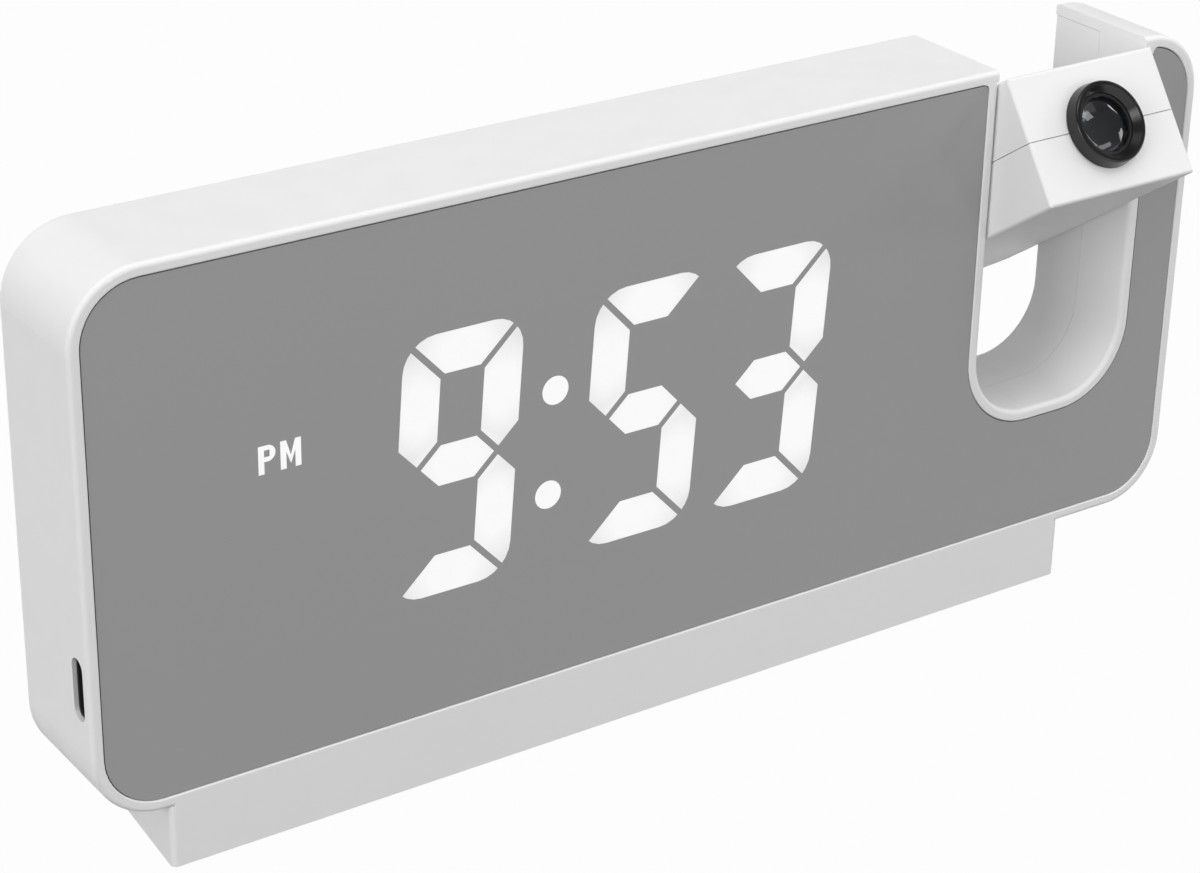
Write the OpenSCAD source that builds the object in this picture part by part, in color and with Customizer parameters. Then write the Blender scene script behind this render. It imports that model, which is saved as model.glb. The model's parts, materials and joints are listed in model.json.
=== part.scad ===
// Projection alarm clock: a slim mirror-faced case on a foot, with a projector
// head that turns in a notch at the top right. X runs across the front, Y from
// the front to the back, Z up. The origin is on the table, below the middle of
// the foot's depth and the middle of the case's width.

/* [Case] */
// Width of the case
case_w = 185; // [176:1:200]
// Height of the case above its foot
case_h = 77; // [74:0.5:84]
// Depth of the case, and thickness of the projector head
case_d = 19.6; // [19:0.1:22]
// Radius of the case's outer corners
case_r = 10; // [8:0.5:12]
// Thickness of the shell walls, and width of the rim round the mirror
wall = 1.7; // [1.5:0.1:2]
// Rounding of the shell's outer edges
edge_r = 0.7; // [0.4:0.1:0.8]
// Rounding of the rim's inner edge, beside the mirror
rim_r = 0.25; // [0.15:0.05:0.35]
// Width of the ledge that the mirror rests on
ledge_w = 2.5; // [2:0.1:3]
// Thickness of the ledge
ledge_t = 1.2; // [1:0.1:1.4]
// Width of the parting line round the projector head
seam = 0.12; // [0.08:0.02:0.16]
// Width of the parting line inside the notch
notch_seam = 0.06; // [0.04:0.01:0.1]

/* [Notch] */
// Width of the arm to the right of the notch
arm_w = 11.3; // [10.8:0.1:12.4]
// Width of the notch that the projector head turns in
notch_w = 28.2; // [27.6:0.1:29]
// Height of the notch's floor above the case's bottom
notch_floor = 21.3; // [20:0.1:23]
// Radius of the notch's lower corners
notch_r = 10.7; // [10:0.1:11.5]

/* [Mirror and display] */
// Thickness of the mirror panel
mirror_t = 1.1; // [1:0.1:1.4]
// How far the mirror's face lies behind the rim
mirror_inset = 0.15; // [0.1:0.05:0.25]
// Gap between the mirror and the rim
mirror_gap = 0.14; // [0.1:0.02:0.2]
// Radius of the mirror opening's corners beside the notch
opening_r = 0.9; // [0.6:0.1:1.2]
// Distance from the case's left side to the colon
colon_inset = 69.8; // [66:0.1:72]
// Height of the digits' middle above the case's own middle
digit_rise = 0.45; // [-1:0.05:1]
// Width of a digit
digit_w = 18.6; // [17:0.1:19]
// Height of a digit
digit_h = 38.1; // [36:0.1:40]
// Thickness of a segment
segment_t = 5.9; // [5:0.1:6.2]
// Gap between neighbouring segments
segment_gap = 0.9; // [0.6:0.1:1.1]
// Radius of a digit's outer corners
digit_r = 4.8; // [4:0.1:5.4]
// Slant of the digits
slant = 3.8; // [2:0.1:5]
// Distance between the two minute digits
digit_pitch = 21.4; // [21:0.1:22]
// Distance from the colon to the left edge of the hour digit
hour_offset = -25.5; // [-26:0.1:-25.2]
// Distance from the colon to the left edge of the first minute digit
minute_offset = 4.5; // [4.3:0.1:5]
// Diameter of the colon's dots
dot_d = 4.2; // [3.6:0.1:4.6]
// Distance between the colon's dots
dot_pitch = 15.4; // [14:0.1:17]
// Height of the PM letters
letter_h = 4; // [3.5:0.1:4.5]

/* [Projector head] */
// Distance from the pivot to the lens face, which closes the notch when upright
lens_reach = 20.6; // [20:0.1:21.4]
// Angle of the lens above level, as the clock is shown
lens_tilt = 35.3; // [0:0.1:80]
// Gap between the head and each side of the notch
head_gap = 0.25; // [0.2:0.05:0.4]
// Gap between the head's tail and the notch's floor as it turns
turn_gap = 0.4; // [0.3:0.05:0.6]
// Thickness of the head's walls
head_wall = 1.6; // [1.4:0.1:1.8]
// Rounding of the head's long edges
head_edge = 0.5; // [0.3:0.1:0.7]
// Radius of the hollow pivot tube and of the pivot pin
pivot_r = 4; // [3.6:0.1:4.4]
// Radius of the tube's bore, which the lead runs through
pivot_bore_r = 2.2; // [1.8:0.1:2.4]
// Running clearance of the turning and sliding fits
running_fit = 0.05; // [0.03:0.01:0.08]

/* [Lens] */
// Radius of the focus ring where it meets the lens face
ring_r = 6.45; // [6.2:0.05:6.8]
// How far the focus ring stands out of the lens face
ring_h = 2.2; // [2:0.1:2.6]
// Radius of the sliding lens barrel
barrel_r = 4.6; // [4.4:0.05:4.7]
// Travel of the lens barrel each way as the focus ring turns
focus_travel = 0.6; // [0.4:0.1:0.7]

/* [Foot] */
// How far the foot's left end lies inside the case's left side
foot_left_inset = 10.5; // [8.5:0.5:16.5]
// How far the foot's right end lies inside the case's right side
foot_right_inset = 20.3; // [10:0.1:26]
// Height of the foot below the case
foot_h = 9.3; // [9:0.1:11]
// Depth of the foot, front to back
foot_d = 50; // [44:1:60]
// How much each end of the foot draws in for each millimetre towards the back
foot_taper = 0.085; // [0.04:0.005:0.12]
// Height of the foot's rear edge
foot_rear_h = 5.2; // [4.8:0.1:6]
// Thickness of the foot's walls
foot_wall = 2; // [1.8:0.1:2.4]
// Thickness of the rubber mat under the foot
mat_t = 1.2; // [1:0.1:1.6]
// How far the mat stands below the foot
mat_proud = 0.6; // [0.4:0.1:0.8]

/* [Buttons] */
// Radius of the round buttons
button_r = 3.5; // [3:0.1:4]
// Distance between the round buttons
button_pitch = 13; // [12:0.5:14]
// How far a button is pressed
button_travel = 0.5; // [0.3:0.1:0.6]
// How far the buttons stand out of the rear cover
button_proud = 0.9; // [0.7:0.1:1.2]
// Length of the snooze bar
snooze_len = 38; // [30:1:44]
// Height of the snooze bar
snooze_h = 7; // [6:0.5:8]

/* [Inside] */
// Thickness of the circuit boards
board_t = 1.2; // [1:0.1:1.4]
// Depth from the front to the display board
display_board_y = 4.9; // [4.8:0.1:5.2]
// Space from the front of the main board to the rear cover
rear_space = 6.9; // [6.8:0.1:7.2]
// Thickness of the rear cover's plate
cover_t = 1.8; // [1.6:0.1:2]
// How far the rear cover's plate lies inside the shell's back edge
cover_inset = 0.3; // [0.2:0.05:0.4]
// Radius of the coin cell
cell_r = 10; // [9:0.5:10]
// Thickness of the coin cell
cell_t = 3.2; // [2.5:0.1:3.2]
// Radius of the cell door
door_r = 12; // [11.6:0.1:12.4]

/* [Hidden] */
$fn = 64;
eps = 0.01;
through = 100;

white = "whitesmoke";
board_green = "darkgreen";
steel = "silver";
smoke = [0.56, 0.56, 0.56];
lit = [0.98, 0.98, 0.98];

front_y = -foot_d / 2;
case_z = mat_proud + foot_h;
case_l = -case_w / 2;
case_rt = case_w / 2;

// Notch and pivot, in the case's own coordinates
notch_rt = case_rt - arm_w;
notch_l = notch_rt - notch_w;
notch_x = notch_rt - notch_w / 2;
pivot_y = case_d / 2;
pivot_h = case_h - lens_reach;
head_w = notch_w - 2 * head_gap;
tail_r = pivot_h - notch_floor - turn_gap;
tail_corner = notch_r - turn_gap;
saddle_r = pivot_r + 3;
saddle_len = 5.3;
collar_r = pivot_r + 1.5;
collar_t = 1.3;
ring_cord = 0.8;

// Depths inside the case, from the front
mirror_back = mirror_inset + mirror_t;
cover_out = case_d - cover_inset;
cover_in = cover_out - cover_t;
case_seam_y = case_d / 2;
main_board_y = cover_in - rear_space;
board_back = main_board_y + board_t;
cover_gap = 0.06;

// Places of the fasteners, as [across, up]
screw_inset = 7.4;
case_bosses = [
  [-case_w / 2 + screw_inset, screw_inset],
  [-case_w / 2 + screw_inset, case_h - screw_inset],
  [notch_l - wall - 4.4, case_h - wall - 4.4],
  [case_w / 2 - screw_inset, screw_inset],
  [(notch_rt + case_w / 2) / 2, case_h - 9]
];
boss_r = 3;
foot_boss_len = 6;
post_r = 2.4;
screw_r = 1.1;
screw_head_r = 2.1;
screw_head_h = 1.2;
case_screw_len = 8;
board_screw_r = 0.9;
board_screw_head_r = 1.9;
display_screw_len = 3.2;
main_screw_len = 3.6;
spacer_r = 2.2;
board_l = -case_w / 2 + 13.5;
board_rt = notch_l - wall - 8.3;
board_low = wall + 1.8;
board_high = case_h - wall - 1.8;
board_posts = [
  [board_l + 3, board_low + 2.6], [board_rt - 3, board_low + 2.6],
  [board_l + 3, board_high - 2.6], [board_rt - 3, board_high - 2.6]
];
main_l = board_l + 17;
main_rt = board_rt - 14;
main_low = 12.5;
main_high = case_h - 9;
header_w = 20;
header_h = 2.5;
header_x = main_l + 42;
chip_w = 12;
chip_t = 1.5;
chip_x = board_l + 49;
chip_h = case_h / 2 - 2.5;
lead_socket_w = 4;
lead_socket_h = 6;
spacer_spots = [
  [main_l + 3.5, main_low + 3.5], [main_rt - 3.5, main_low + 3.5],
  [main_l + 3.5, main_high - 3.5], [main_rt - 3.5, main_high - 3.5]
];

// Power inlet
usb_h = 19.8;
usb_w = 9;
usb_t = 3.2;
usb_y = mirror_back + 0.05 + usb_t / 2;
usb_len = 7.3;
usb_wall = 0.35;
usb_slot_w = 9.1;
usb_slot_t = 3;
usb_recess = 0.7;

// Buttons: the snooze bar above a row of five round ones
button_x0 = main_l + 12;
button_row_h = 43;
snooze_row_h = 57;
snooze_x = button_x0 + 2 * button_pitch;
button_gap = 0.2;
flange = 1.1;
flange_t = 0.9;
buzzer_len = 4;
buzzer_hole_r = 1.2;
switch_w = 6;
plunger_r = 1.6;
plunger_t = 0.5;
press_gap = 0.1;
stem_len = 0.4;
stem_r = 1.8;
flange_back = cover_in - press_gap - flange_t;
stem_tip = flange_back - stem_len;
switch_t = stem_tip - press_gap - button_travel - plunger_t - board_back;

// Coin cell and its door
cell_x = main_rt - 27;
door_gap = 0.15;
door_step = 1.4;
door_ledge = 1;
door_rim = 2.2;
door_lug_w = 4.4;
door_turn = 60;
cell_h = button_row_h - button_r - flange - door_r - door_rim - 0.4;
holder_t = 0.8;
holder_rim = 0.9;
holder_h = 3;
contact_w = 5;
contact_t = 0.3;
contact_back = board_back + holder_t + cell_t + contact_t;
door_rim_y = cover_in - 1;

// Foot
foot_rear_r = 8;
foot_edge = 0.8;
foot_flat_d = case_d + 1;
foot_cover_t = 1.6;
foot_left = case_l + foot_left_inset;
foot_right = case_rt - foot_right_inset;
foot_boss_y = case_d / 2 + 2.2;
foot_bosses = [for (x = [foot_left + 16, (foot_left + foot_right) / 2, foot_right - 16]) [x, foot_boss_y]];
foot_corners = [
  [foot_left + 12, 6.5], [foot_right - 12, 6.5],
  [foot_left + 16, foot_d - 10], [foot_right - 16, foot_d - 10]
];
ballast_inset = 27;
ballast_w = 14;
ballast_t = 1.8;
ballast_y = foot_d - 28;
corner_boss_r = 2.6;
foot_screw_head_r = 2.3;
foot_screw_head_h = 1.4;
cover_screw_r = 0.9;
cover_screw_head_r = 2.1;
cover_screw_head_h = 0.9;

// Digits
digit_base = case_h / 2 + digit_rise - digit_h / 2;
dot_slide = tan(slant) * dot_pitch / 2;
colon_x = case_l + colon_inset;
letters_x = -44.55;
letters_rise = 5.6;
stroke = 0.85;
guide_back = display_board_y - 0.6;

// Buzzer
buzzer_x = main_l + 20;
buzzer_h = 26;
buzzer_r = 8;

// Places along the lens axis, from the pivot
head_bosses = [[-9.4, 15], [9.4, 15], [-7, -20], [7, -20]];
head_boss_r = 2.3;
head_screw_r = 0.8;
head_screw_head_r = 1.6;
head_screw_reach = 5.5;
housing_w = 16;
led_board_w = 14;
led_board_h = 12.8;
slide_w = 11;
condenser_r = 5.8;
condenser_t = 2.4;
led_board_s = 1.3;
led_s = led_board_s + 1;
condenser_s = 6.2;
slide_s = 10;
housing_end = 11.8;
barrel_back = 13.2;
neck_r = barrel_r + 0.75;
ring_flange_r = neck_r + 0.8;
ring_front = lens_reach + ring_h;
lens_r = barrel_r - 0.4;
barrel_tip_s = ring_front - focus_travel - 0.7;
lens_edge_s = barrel_tip_s - 0.3;
lens_t = 1.6;
dome = 1;
dome_r = (lens_r * lens_r + dome * dome) / (2 * dome);

// ---------- placing ----------

// The case's coordinates: X across from its middle, Y up from its bottom, and
// Z towards the viewer from the front, so that depths are below zero.
module face() {
  translate([0, front_y, case_z]) rotate([90, 0, 0]) children();
}

// An outline given a thickness, between two depths from the front
module layer(from, to) {
  translate([0, 0, -to]) linear_extrude(to - from) children();
}

// The head's coordinates: X across from its middle, Y along the lens axis from
// the pivot, and Z out of its upper side
module head() {
  translate([notch_x, front_y + pivot_y, case_z + pivot_h])
    rotate([180 - lens_tilt, 0, 0]) mirror([0, 0, 1]) children();
}

// A turned shape on the lens axis, drawn as [radius, distance from the pivot]
module on_lens_axis() {
  head() rotate([-90, 0, 0]) rotate_extrude() children();
}

// A disc or ring on the lens axis between two distances from the pivot
module lens_disc(from, to, r, bore = 0) {
  on_lens_axis() translate([bore, from]) square([r - bore, to - from]);
}

// ---------- outlines ----------

module rounded_rect(w, h, r) {
  translate([-w / 2, r]) square([w, h - 2 * r]);
  translate([-w / 2 + r, 0]) square([w - 2 * r, h]);
  for (x = [-w / 2 + r, w / 2 - r], y = [r, h - r]) translate([x, y]) circle(r);
}

// The case's outline drawn in by a distance, without the notch
module case_rect(inset) {
  translate([0, inset]) rounded_rect(case_w - 2 * inset, case_h - 2 * inset, case_r - inset);
}

// The notch, grown by a distance, and open at the top
module notch(grow) {
  half = notch_w / 2 + grow;
  r = notch_r + grow;
  low = notch_floor - grow;
  translate([notch_x, 0]) {
    translate([-half, low + r]) square([2 * half, case_h]);
    translate([-half + r, low]) square([2 * (half - r), r + 1]);
    for (x = [-half + r, half - r]) translate([x, low + r]) circle(r);
  }
}

module case_outline(inset, notch_inset) {
  difference() {
    case_rect(inset);
    notch(notch_inset);
  }
}

// Corners of the mirror's opening beside the notch, where it meets the top edge:
// each fills the corner up to an arc, and reaches past it
module opening_corners(inset, r, reach) {
  for (s = [-1, 1])
    translate([notch_x + s * (notch_w / 2 + inset), case_h - inset]) rotate(s > 0 ? 90 : 0) difference() {
      translate([-r, -r]) square(r + reach);
      translate([-r, -r]) circle(r);
    }
}

module stadium(w, h) {
  r = min(w, h) / 2;
  if (w > h) square([w - h, h], center = true);
  if (h > w) square([w, h - w], center = true);
  for (k = [-1, 1]) translate([k * (w / 2 - r), k * (h / 2 - r)]) circle(r);
}

// ---------- case shell ----------

// Section of the shell wall: zero is its outer face, and depths are below zero
module wall_section(depth, back_edge) {
  low = -depth + back_edge;
  translate([-wall + rim_r, -depth]) square([wall - rim_r - edge_r, depth]);
  translate([-wall, low]) square([wall, depth - back_edge - edge_r]);
  translate([-wall, -depth]) square([wall - edge_r, depth - rim_r]);
  translate([-edge_r, -edge_r]) circle(edge_r);
  if (back_edge > 0) translate([-edge_r, low]) circle(back_edge);
  translate([-wall + rim_r, -rim_r]) circle(rim_r);
}

module ledge_section() {
  translate([-wall - ledge_w, -mirror_back - ledge_t]) square([ledge_w + eps, ledge_t]);
}

module rim_section() {
  wall_section(case_d, edge_r);
  ledge_section();
}

module liner_section() {
  wall_section(case_seam_y - notch_seam / 2, 0);
  ledge_section();
}

// A straight run of a section whose outer side faces up
module run(len) {
  rotate([90, 0, 90]) linear_extrude(len) children();
}

module case_ring() {
  for (i = [0:3]) {
    wide = i % 2 == 0;
    len = (wide ? case_w : case_h) - 2 * case_r;
    out = (wide ? case_h : case_w) / 2;
    translate([0, case_h / 2, 0]) rotate([0, 0, 90 * i]) {
      translate([-len / 2, out, 0]) run(len) rim_section();
      translate([len / 2, out - case_r, 0])
        rotate_extrude(angle = 90) translate([case_r, 0]) rim_section();
    }
  }
}

module notch_liner() {
  leg = case_h - 1 - notch_floor - notch_r;
  half = notch_w / 2;
  translate([notch_x, notch_floor, 0]) {
    translate([-half, notch_r + leg, 0]) rotate([0, 0, -90]) run(leg) liner_section();
    translate([half, notch_r, 0]) rotate([0, 0, 90]) run(leg) liner_section();
    translate([-half + notch_r, 0, 0]) run(notch_w - 2 * notch_r) liner_section();
    for (s = [-1, 1])
      translate([s * (half - notch_r), notch_r, 0]) rotate([0, 0, s < 0 ? 180 : 270])
        rotate_extrude(angle = 90) translate([notch_r, 0]) mirror([1, 0]) liner_section();
  }
}

// Thick rings round the pivot in both walls of the notch, between two depths
module saddles(from, to) {
  intersection() {
    for (s = [-1, 1])
      translate([notch_x + s * (notch_w / 2 + wall / 2), pivot_h, -pivot_y])
        rotate([0, s * 90, 0]) cylinder(r = saddle_r, h = saddle_len - wall / 2);
    translate([0, 0, -to]) linear_extrude(to - from) translate([-case_w / 2, 0]) square([case_w, case_h]);
  }
}

// The bores that the pivot turns in, with a groove for each friction ring
module pivot_bores() {
  translate([notch_x, pivot_h, -pivot_y]) {
    rotate([0, 90, 0]) cylinder(r = pivot_r + running_fit, h = notch_w + 2 * saddle_len + 4, center = true);
    for (s = [-1, 1]) rotate([0, s * 90, 0])
      translate([0, 0, notch_w / 2 + saddle_len - ring_cord * 2 - 1])
        cylinder(r = pivot_r + 2 * ring_cord + running_fit, h = 2 * ring_cord + 2 * running_fit);
  }
}

// Square edge above the foot, so that the foot's front runs on into the rim
module foot_land() {
  size = edge_r + 0.3;
  translate([foot_left + foot_edge, 0, -size])
    cube([foot_right - foot_left - 2 * foot_edge, size, size]);
}

module usb_pocket() {
  translate([-case_w / 2, usb_h, -usb_y]) {
    translate([-1, 0, 0]) rotate([0, 90, 0]) linear_extrude(wall + 1 + eps) stadium(usb_slot_t, usb_slot_w);
    translate([usb_recess - 0.1, -usb_w / 2 - 0.1, -usb_t / 2 - 0.05])
      cube([usb_len + 1, usb_w + 0.2, usb_t + 0.1]);
  }
}

module front_shell() {
  color(white) face() difference() {
    union() {
      difference() {
        case_ring();
        translate([0, 0, -case_d - 1]) linear_extrude(case_d + 2) notch(0);
      }
      notch_liner();
      layer(0, mirror_back) opening_corners(wall, opening_r, wall / 3);
      foot_land();
      saddles(mirror_back + ledge_t, case_seam_y - notch_seam / 2);
      layer(mirror_back, cover_in - cover_gap) for (p = case_bosses) translate(p) circle(boss_r);
      layer(mirror_back, display_board_y) for (p = board_posts) translate(p) circle(post_r);
      for (p = foot_bosses) translate([p[0], 0, -p[1]]) rotate([-90, 0, 0]) {
        translate([0, 0, wall / 2]) cylinder(r = boss_r, h = foot_boss_len);
      }
    }
    pivot_bores();
    usb_pocket();
    layer(cover_in - case_screw_len - 1, cover_in) for (p = case_bosses) translate(p) circle(screw_r);
    layer(mirror_back + 0.6, display_board_y + eps) for (p = board_posts) translate(p) circle(board_screw_r);
    for (p = foot_bosses) translate([p[0], -1, -p[1]]) rotate([-90, 0, 0])
      cylinder(r = screw_r, h = foot_boss_len + 0.5);
  }
}

module button_spots() {
  for (i = [0:4]) translate([button_x0 + i * button_pitch, button_row_h]) children();
}

module rear_cover() {
  color(white) face() difference() {
    union() {
      layer(cover_in, cover_out) difference() {
        case_rect(wall + cover_gap);
        notch(0);
      }
      layer(case_seam_y + notch_seam / 2, cover_in + eps) intersection() {
        difference() {
          notch(wall);
          notch(0);
        }
        case_rect(wall + cover_gap);
      }
      saddles(case_seam_y + notch_seam / 2, cover_in + eps);
      layer(door_rim_y, cover_in + eps) translate([cell_x, cell_h]) circle(door_r + door_rim);
    }
    pivot_bores();
    layer(cover_in - eps, case_d) for (p = case_bosses) translate(p) circle(screw_r + 0.3);
    layer(cover_out - screw_head_h, case_d) for (p = case_bosses) translate(p) circle(screw_head_r + 0.15);
    layer(cover_in - eps, case_d) button_spots() circle(button_r + button_gap);
    layer(cover_in - eps, case_d) translate([snooze_x, snooze_row_h])
      stadium(snooze_len + 2 * button_gap, snooze_h + 2 * button_gap);
    layer(cover_out - door_step, case_d) translate([cell_x, cell_h]) circle(door_r + door_gap);
    layer(cover_in - 3, case_d) translate([cell_x, cell_h]) circle(door_r - door_ledge);
    layer(cover_in - 3, cover_out - 1) translate([cell_x, cell_h]) rotate(-door_turn)
      door_bar(door_r + door_gap / 3, door_lug_w + 0.6);
    layer(cover_in - eps, case_d) for (i = [0:6]) translate([buzzer_x, buzzer_h])
      rotate(i * 60) translate([i < 6 ? 3 : 0, 0]) circle(0.7);
  }
}

module mirror_panel() {
  color(smoke) face() layer(mirror_inset, mirror_back) difference() {
    case_outline(wall + mirror_gap, wall + mirror_gap);
    opening_corners(wall + mirror_gap, opening_r - mirror_gap, 1);
    lit_outlines();
  }
}

// ---------- display ----------

// A point of a digit, leaned over by the slant
function leaned(p) = [p[0] + p[1] * tan(slant), p[1]];

// The digit's outer outline with its rounded corners
function digit_corner(cx, cy, start) =
  [for (a = [0:15:90]) [cx + digit_r * cos(start + a), cy + digit_r * sin(start + a)]];

module digit_outline() {
  w = digit_w;
  h = digit_h;
  r = digit_r;
  polygon([for (p = concat(digit_corner(w - r, h - r, 0), digit_corner(r, h - r, 90),
    digit_corner(r, r, 180), digit_corner(w - r, r, 270))) leaned(p)]);
}

// One of the seven segments, named a to g as usual
module segment(name) {
  w = digit_w;
  h = digit_h;
  t = segment_t;
  m = h / 2;
  k = segment_gap * sqrt(0.5);
  top = [[k, h], [w - k, h], [w - t - k, h - t], [t + k, h - t]];
  side = [[0, h - k], [t, h - t - k], [t, m + t / 2 + k], [t / 2, m + k], [0, m + t / 2 + k]];
  middle = [[t / 2 + k, m], [t + k, m + t / 2], [w - t - k, m + t / 2],
    [w - t / 2 - k, m], [w - t - k, m - t / 2], [t + k, m - t / 2]];
  points =
    name == "a" ? top :
    name == "d" ? [for (p = top) [p[0], h - p[1]]] :
    name == "f" ? side :
    name == "b" ? [for (p = side) [w - p[0], p[1]]] :
    name == "e" ? [for (p = side) [p[0], h - p[1]]] :
    name == "c" ? [for (p = side) [w - p[0], h - p[1]]] : middle;
  intersection() {
    polygon([for (p = points) leaned(p)]);
    digit_outline();
  }
}

module digit(x, names) {
  translate([x, digit_base]) for (s = names) segment(s);
}

module hour_outline() {
  digit(colon_x + hour_offset, ["a", "b", "c", "d", "f", "g"]);
}

module minute_tens_outline() {
  digit(colon_x + minute_offset, ["a", "c", "d", "f", "g"]);
}

module minute_units_outline() {
  digit(colon_x + minute_offset + digit_pitch, ["a", "b", "c", "d", "g"]);
}

module colon_outline() {
  for (s = [-1, 1])
    translate([colon_x + s * dot_slide, case_h / 2 + digit_rise - 1.2 + s * dot_pitch / 2]) circle(dot_d / 2);
}

// The letters PM; behind the mirror the P is filled, and carries the mirror's
// piece inside it
module pm_outline(filled = false) {
  h = letter_h;
  p_w = 2.5;
  m_w = 3;
  bowl = 2.3;
  hole_w = p_w - bowl / 2 - stroke + 0.3;
  hole_h = bowl - stroke * 1.6;
  translate([colon_x + letters_x, case_h / 2 + digit_rise + letters_rise]) {
    square([stroke, h]);
    difference() {
      union() {
        translate([0, h - bowl]) square([p_w - bowl / 2, bowl]);
        translate([p_w - bowl / 2, h - bowl / 2]) circle(bowl / 2);
      }
      if (!filled) translate([stroke, h - (bowl + hole_h) / 2]) square([hole_w, hole_h]);
    }
    translate([p_w + 0.7, 0]) polygon([[0, 0], [0, h], [stroke, h], [m_w / 2, h * 0.45],
      [m_w - stroke, h], [m_w, h], [m_w, 0], [m_w - stroke, 0], [m_w - stroke, h * 0.6],
      [m_w / 2, h * 0.15], [stroke, h * 0.6], [stroke, 0]]);
  }
}

module lit_outlines(filled = false) {
  hour_outline();
  minute_tens_outline();
  minute_units_outline();
  colon_outline();
  pm_outline(filled);
}

module light_guide() {
  color(lit) face() {
    layer(mirror_inset, mirror_back + eps) children(0);
    layer(mirror_back, guide_back) children($children - 1);
  }
}

module hour_segments() {
  light_guide() hour_outline();
}

module minute_tens_segments() {
  light_guide() minute_tens_outline();
}

module minute_units_segments() {
  light_guide() minute_units_outline();
}

module colon_dots() {
  light_guide() colon_outline();
}

module pm_indicator() {
  light_guide() {
    pm_outline();
    pm_outline(true);
  }
}

module display_reflector() {
  left = colon_x + letters_x - 4;
  right = colon_x + minute_offset + digit_pitch + digit_w + 6;
  color(white) face() {
    layer(mirror_back, guide_back) difference() {
      translate([left, digit_base - 4]) square([right - left, digit_h + 8]);
      lit_outlines(true);
    }
    layer(guide_back - eps, display_board_y) difference() {
      translate([left, digit_base - 4]) square([right - left, digit_h + 8]);
      translate([left + 2, digit_base - 2]) square([right - left - 4, digit_h + 4]);
    }
  }
}

// ---------- boards ----------

module display_board() {
  color(board_green) face() layer(display_board_y, display_board_y + board_t) difference() {
    union() {
      translate([board_l, board_low]) square([board_rt - board_l, board_high - board_low]);
      translate([-case_w / 2 + wall + 0.3, usb_h - 6.5]) square([20, 13]);
    }
    for (p = board_posts) translate(p) circle(1.2);
    for (p = spacer_spots) translate(p) circle(1);
  }
}

module usb_c_socket() {
  color("black") face() translate([-case_w / 2 + usb_recess, usb_h, -usb_y]) rotate([0, 90, 0]) {
    difference() {
      linear_extrude(usb_len) stadium(usb_t, usb_w);
      translate([0, 0, -1]) linear_extrude(usb_len) stadium(usb_t - 2 * usb_wall, usb_w - 2 * usb_wall);
    }
    translate([0, 0, 1]) linear_extrude(usb_len - 1.5) square([0.7, 6.2], center = true);
  }
}

module board_header() {
  color("black") face() translate([header_x, main_high - 6, 0])
    layer(display_board_y + board_t, main_board_y) square([header_w, header_h], center = true);
}

module controller_chip() {
  color([0.1, 0.1, 0.1]) face() translate([chip_x, chip_h, 0])
    layer(display_board_y + board_t, display_board_y + board_t + chip_t) square(chip_w, center = true);
}

module lead_socket() {
  color("ivory") face() translate([board_rt - lead_socket_w / 2, pivot_h, 0])
    layer(display_board_y + board_t, pivot_y + 2) square([lead_socket_w, lead_socket_h], center = true);
}

module board_spacers() {
  color("goldenrod") face() layer(display_board_y + board_t, main_board_y) for (p = spacer_spots)
    translate(p) difference() {
      circle(spacer_r);
      circle(board_screw_r);
    }
}

module main_board() {
  color(board_green) face() layer(main_board_y, board_back) difference() {
    translate([main_l, main_low]) square([main_rt - main_l, main_high - main_low]);
    for (p = spacer_spots) translate(p) circle(1.1);
  }
}

module switch_at(x, h) {
  translate([x, h, 0]) {
    layer(board_back, board_back + switch_t) square(switch_w, center = true);
    layer(board_back + switch_t - eps, board_back + switch_t + plunger_t) circle(plunger_r);
  }
}

module tact_switches() {
  color([0.25, 0.25, 0.27]) face() {
    for (i = [0:4]) switch_at(button_x0 + i * button_pitch, button_row_h);
    switch_at(snooze_x, snooze_row_h);
  }
}

module buzzer() {
  color([0.12, 0.12, 0.12]) face() translate([buzzer_x, buzzer_h, 0]) difference() {
    layer(board_back, board_back + buzzer_len) circle(buzzer_r);
    layer(board_back + buzzer_len - 1, board_back + buzzer_len + 1) circle(buzzer_hole_r);
  }
}

module cell_holder() {
  color([0.15, 0.15, 0.15]) face() translate([cell_x, cell_h, 0]) {
    layer(board_back, board_back + holder_t) circle(cell_r + holder_rim);
    layer(board_back + holder_t - eps, board_back + holder_h) difference() {
      circle(cell_r + holder_rim);
      circle(cell_r + 0.1);
    }
  }
}

module coin_cell() {
  low = board_back + holder_t;
  color(steel) face() translate([cell_x, cell_h, 0]) {
    layer(low, low + cell_t - 0.4) circle(cell_r - 0.4);
    layer(low + 0.6, low + cell_t) circle(cell_r);
  }
}

module cell_contact() {
  reach = cell_r + holder_rim + 1.6;
  color("gold") face() translate([cell_x, cell_h, 0]) {
    layer(contact_back - contact_t, contact_back) translate([-contact_w / 2, -contact_w / 2])
      square([contact_w, reach + contact_w / 2]);
    layer(board_back, contact_back - contact_t + eps) translate([-contact_w / 2, reach - 2 * contact_t])
      square([contact_w, 2 * contact_t]);
  }
}

// ---------- screws ----------

// A screw whose head points to the viewer's far side, its tip at a depth
module rear_screw(head_out, len, r, head_r, head_h) {
  difference() {
    union() {
      layer(head_out - head_h - len, head_out - head_h + eps) circle(r);
      layer(head_out - head_h, head_out) circle(head_r);
    }
    layer(head_out - head_h * 0.6, head_out + 1) for (a = [0, 90]) rotate(a)
      square([head_r * 1.2, 0.45], center = true);
  }
}

module case_screws() {
  color(steel) face() for (p = case_bosses) translate([p[0], p[1], 0])
    rear_screw(cover_out, case_screw_len, screw_r, screw_head_r, screw_head_h);
}

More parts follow.
